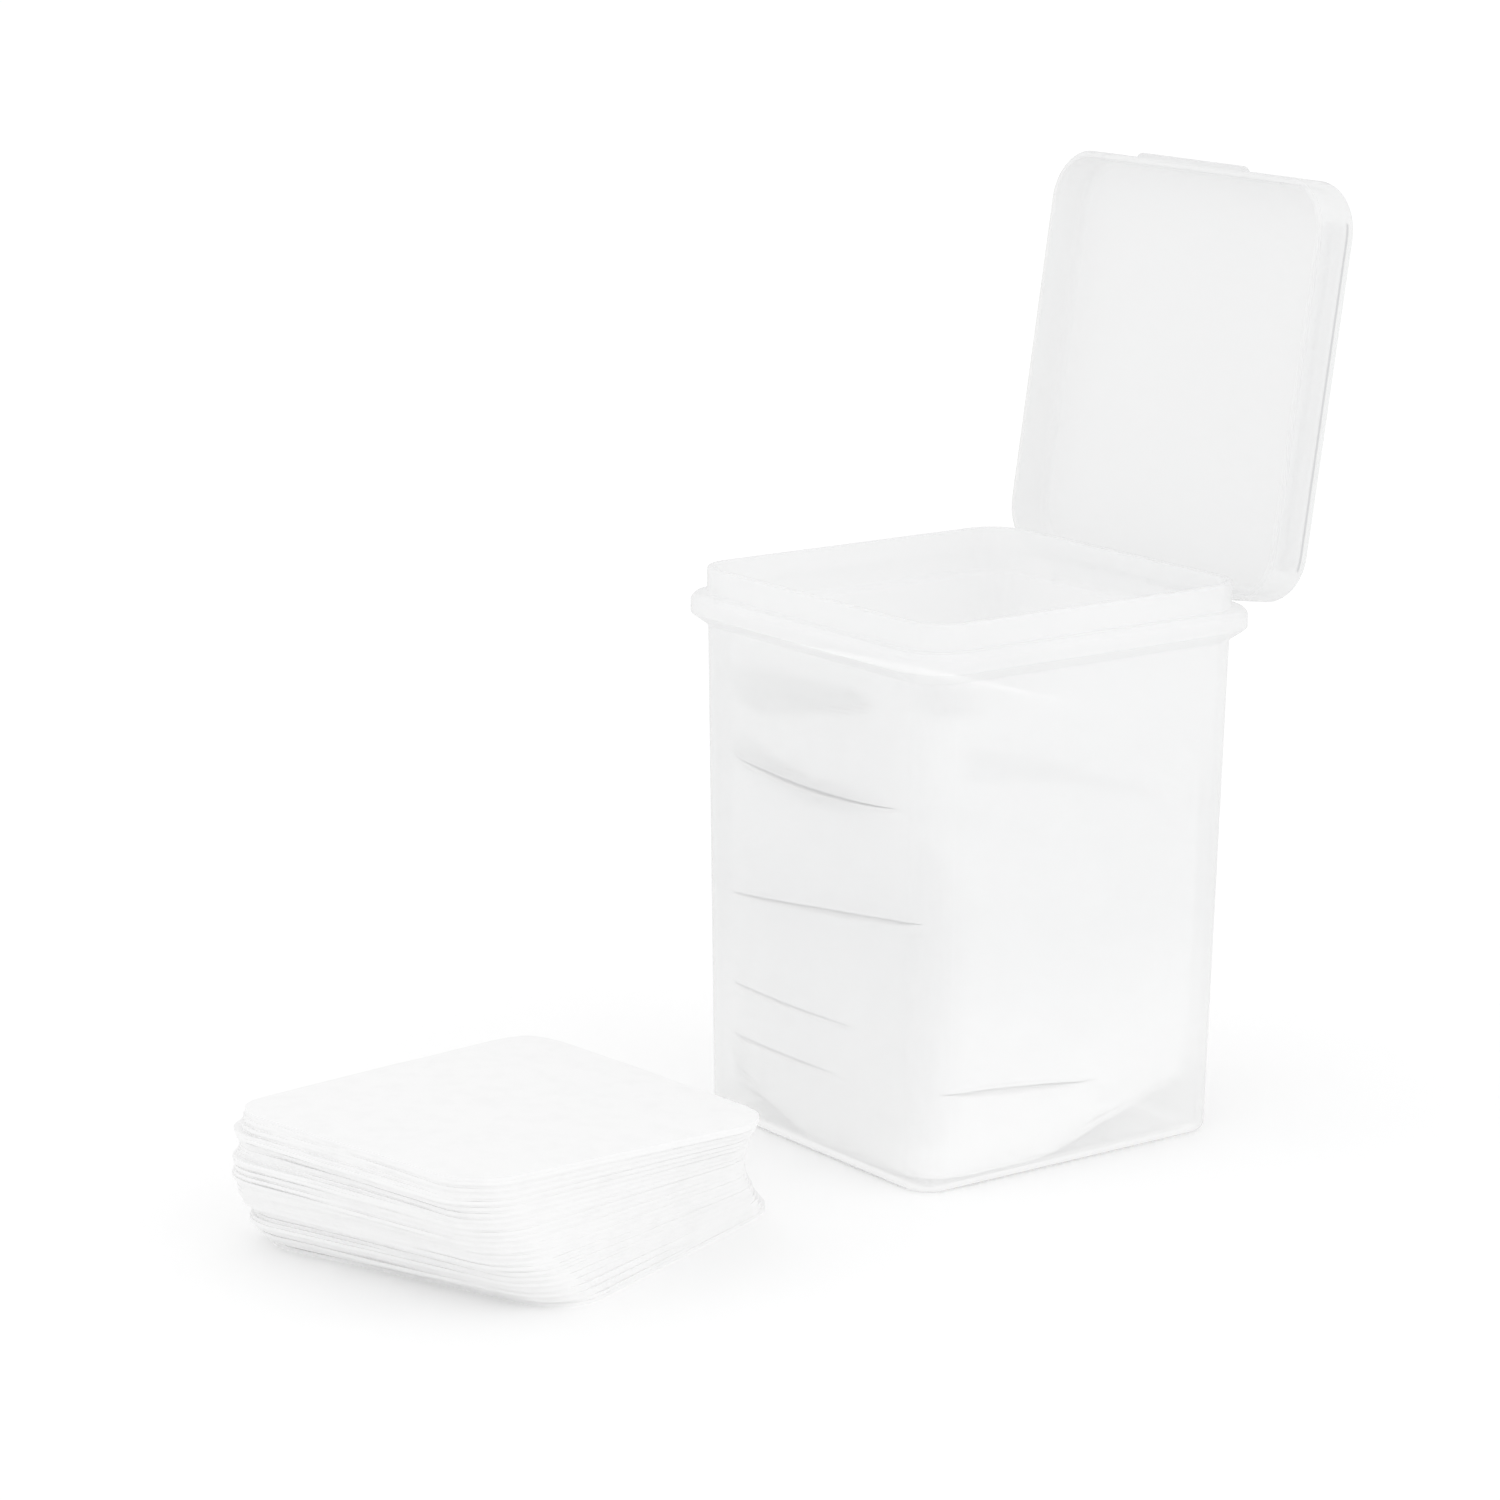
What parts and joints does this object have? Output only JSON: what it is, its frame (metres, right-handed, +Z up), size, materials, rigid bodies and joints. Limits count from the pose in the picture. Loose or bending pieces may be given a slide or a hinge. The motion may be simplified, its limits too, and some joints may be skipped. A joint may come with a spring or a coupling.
{
  "type": "nail wipe container",
  "caption": "Tall translucent box with a living-hinged lid, filled with square nonwoven wipes, with a loose pile of wipes beside it.",
  "frame": {"origin": "middle of the box's foot, on the surface that it stands on", "axes": "+Z up; -Y is the front, where the thumb lip closes; +Y is the hinge side; +X is to the right seen from the front; the lid stands open as pictured"},
  "size_m": [0.0691, 0.1635, 0.1382],
  "materials": {
    "frosted_body": "frosted translucent polypropylene",
    "frosted_lid": "frosted translucent polypropylene",
    "hinge_web": "thin bent polypropylene",
    "packed_wipe": "white nonwoven",
    "loose_wipe": "white nonwoven"
  },
  "bodies": {
    "container": {"container_body": "frosted_body", "hinge_web_lower": "hinge_web", "packed_wipes_01": "packed_wipe", "packed_wipes_02": "packed_wipe", "packed_wipes_03": "packed_wipe", "packed_wipes_04": "packed_wipe", "packed_wipes_05": "packed_wipe", "packed_wipes_06": "packed_wipe", "packed_wipes_07": "packed_wipe", "packed_wipes_08": "packed_wipe", "packed_wipes_09": "packed_wipe", "packed_wipes_10": "packed_wipe", "packed_wipes_11": "packed_wipe", "packed_wipes_12": "packed_wipe", "packed_wipes_13": "packed_wipe", "packed_wipes_14": "packed_wipe", "packed_wipes_15": "packed_wipe", "packed_wipes_16": "packed_wipe", "packed_wipes_17": "packed_wipe", "packed_wipes_18": "packed_wipe", "packed_wipes_19": "packed_wipe", "packed_wipes_20": "packed_wipe", "packed_wipes_21": "packed_wipe", "packed_wipes_22": "packed_wipe", "packed_wipes_23": "packed_wipe", "packed_wipes_24": "packed_wipe", "packed_wipes_25": "packed_wipe", "packed_wipes_26": "packed_wipe", "packed_wipes_27": "packed_wipe", "loose_wipes_01": "loose_wipe", "loose_wipes_02": "loose_wipe", "loose_wipes_03": "loose_wipe", "loose_wipes_04": "loose_wipe", "loose_wipes_05": "loose_wipe", "loose_wipes_06": "loose_wipe", "loose_wipes_07": "loose_wipe", "loose_wipes_08": "loose_wipe", "loose_wipes_09": "loose_wipe", "loose_wipes_10": "loose_wipe", "loose_wipes_11": "loose_wipe", "loose_wipes_12": "loose_wipe", "loose_wipes_13": "loose_wipe", "loose_wipes_14": "loose_wipe", "loose_wipes_15": "loose_wipe", "loose_wipes_16": "loose_wipe", "loose_wipes_17": "loose_wipe", "loose_wipes_18": "loose_wipe", "loose_wipes_19": "loose_wipe", "loose_wipes_20": "loose_wipe", "loose_wipes_21": "loose_wipe", "loose_wipes_22": "loose_wipe"},
    "lid": {"lid": "frosted_lid", "hinge_web_upper": "hinge_web"}
  },
  "joints": [
    {"name": "lid_hinge", "type": "hinge", "parent": "container", "child": "lid", "pos_m": [0, 0.03049, 0.07753], "axis": [1, 0, 0], "range_deg": [-21.6, 98.4]}
  ]
}
